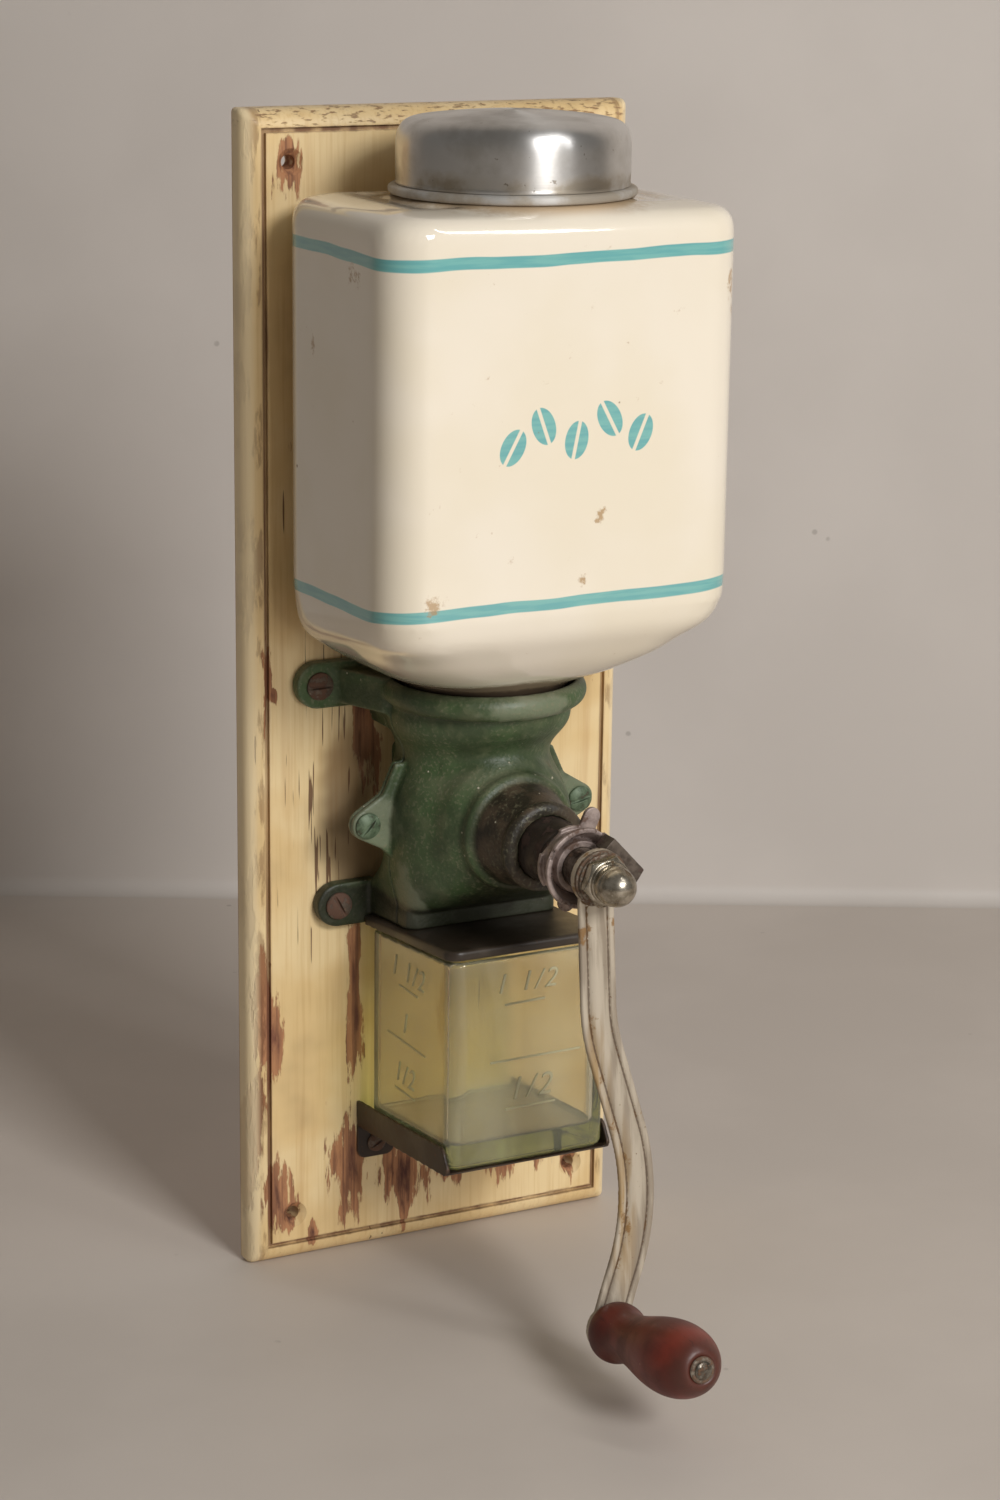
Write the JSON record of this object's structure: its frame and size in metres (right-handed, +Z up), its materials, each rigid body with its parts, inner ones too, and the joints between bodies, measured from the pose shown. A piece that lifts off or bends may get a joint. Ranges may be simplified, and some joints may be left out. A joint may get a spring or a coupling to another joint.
{
  "type": "wall-mounted coffee grinder",
  "caption": "Hand-cranked wall coffee mill: painted board, square glazed bean jar with round lid, green cast mill with side crank, and a glass cup on a sheet shelf.",
  "frame": {"origin": "centre of the board's back face, where it meets the wall", "axes": "+X to the right along the wall, +Y into the wall, +Z up; the crank's axis is parallel to Y"},
  "size_m": [0.14, 0.2015, 0.3961],
  "materials": {
    "painted_board": "old cream oil paint over softwood",
    "stoneware": "glossy ivory glaze",
    "felt": "pressed felt, brown with age",
    "spun_aluminium": "spun and rubbed, slightly dull",
    "painted_iron": "cast iron under green enamel paint",
    "rusted_steel": "rusted",
    "painted_steel": "green enamel paint",
    "hard_steel": "bare hardened steel",
    "steel": "bare, oiled",
    "dark_steel": "dark with oil and coffee",
    "brown_steel": "browned pressed steel",
    "plated_steel": "worn nickel plate with spots of rust",
    "nickel_steel": "old polished nickel",
    "painted_knob": "red-brown lacquer on turned beech",
    "black_sheet": "black japanned sheet steel",
    "brown_sheet": "brown-black sheet steel, rubbed at the edges",
    "cup_glass": "pressed glass"
  },
  "bodies": {
    "frame": {"backboard": "painted_board", "bean_jar": "stoneware", "neck_packing": "felt", "neck_ring": "spun_aluminium", "housing_rear": "painted_iron", "housing_front": "painted_iron", "housing_screws": "rusted_steel", "seam_screws": "painted_steel", "ring_burr": "hard_steel", "horn_bush": "dark_steel", "cup_cover": "black_sheet", "cup_shelf": "brown_sheet", "shelf_screws": "rusted_steel"},
    "thrust": {"thrust_washer": "steel"},
    "nut": {"adjusting_nut": "brown_steel"},
    "crank": {"spindle": "steel", "inner_burr": "hard_steel", "burr_spring": "hard_steel", "locking_plate": "dark_steel", "crank_arm": "plated_steel", "crank_washer": "dark_steel", "cone_washer": "dark_steel", "cap_nut": "nickel_steel", "knob_rivet": "steel", "knob_washer": "steel"},
    "knob": {"knob": "painted_knob"},
    "lid": {"lid": "spun_aluminium"},
    "cup": {"cup": "cup_glass"}
  },
  "joints": [
    {"name": "crank_turn", "type": "hinge", "parent": "frame", "child": "thrust", "pos_m": [0, -0.104, -0.0325], "axis": [0, -1, 0], "continuous": true},
    {"name": "nut_adjust", "type": "hinge", "parent": "thrust", "child": "nut", "pos_m": [0, -0.1057, -0.0325], "axis": [0, 1, 0], "range_deg": [-180, 180]},
    {"name": "burr_shift", "type": "slide", "parent": "thrust", "child": "crank", "axis": [0, -1, 0], "range_m": [-0.00075, 0.00075], "deforming": ["burr_spring"]},
    {"name": "knob_spin", "type": "hinge", "parent": "crank", "child": "knob", "pos_m": [-0.00254, -0.1426, -0.17784], "axis": [0.0032, -0.9833, 0.1822], "continuous": true},
    {"name": "lid_lift", "type": "slide", "parent": "frame", "child": "lid", "axis": [0, 0, 1], "range_m": [0, 0.06]},
    {"name": "cup_slide", "type": "slide", "parent": "frame", "child": "cup", "axis": [0, -0.9954, 0.0958], "range_m": [0, 0.042]}
  ],
  "couplings": [
    {"joint": "nut_adjust", "follows": "burr_shift", "rad_per_m": 4188.8}
  ]
}
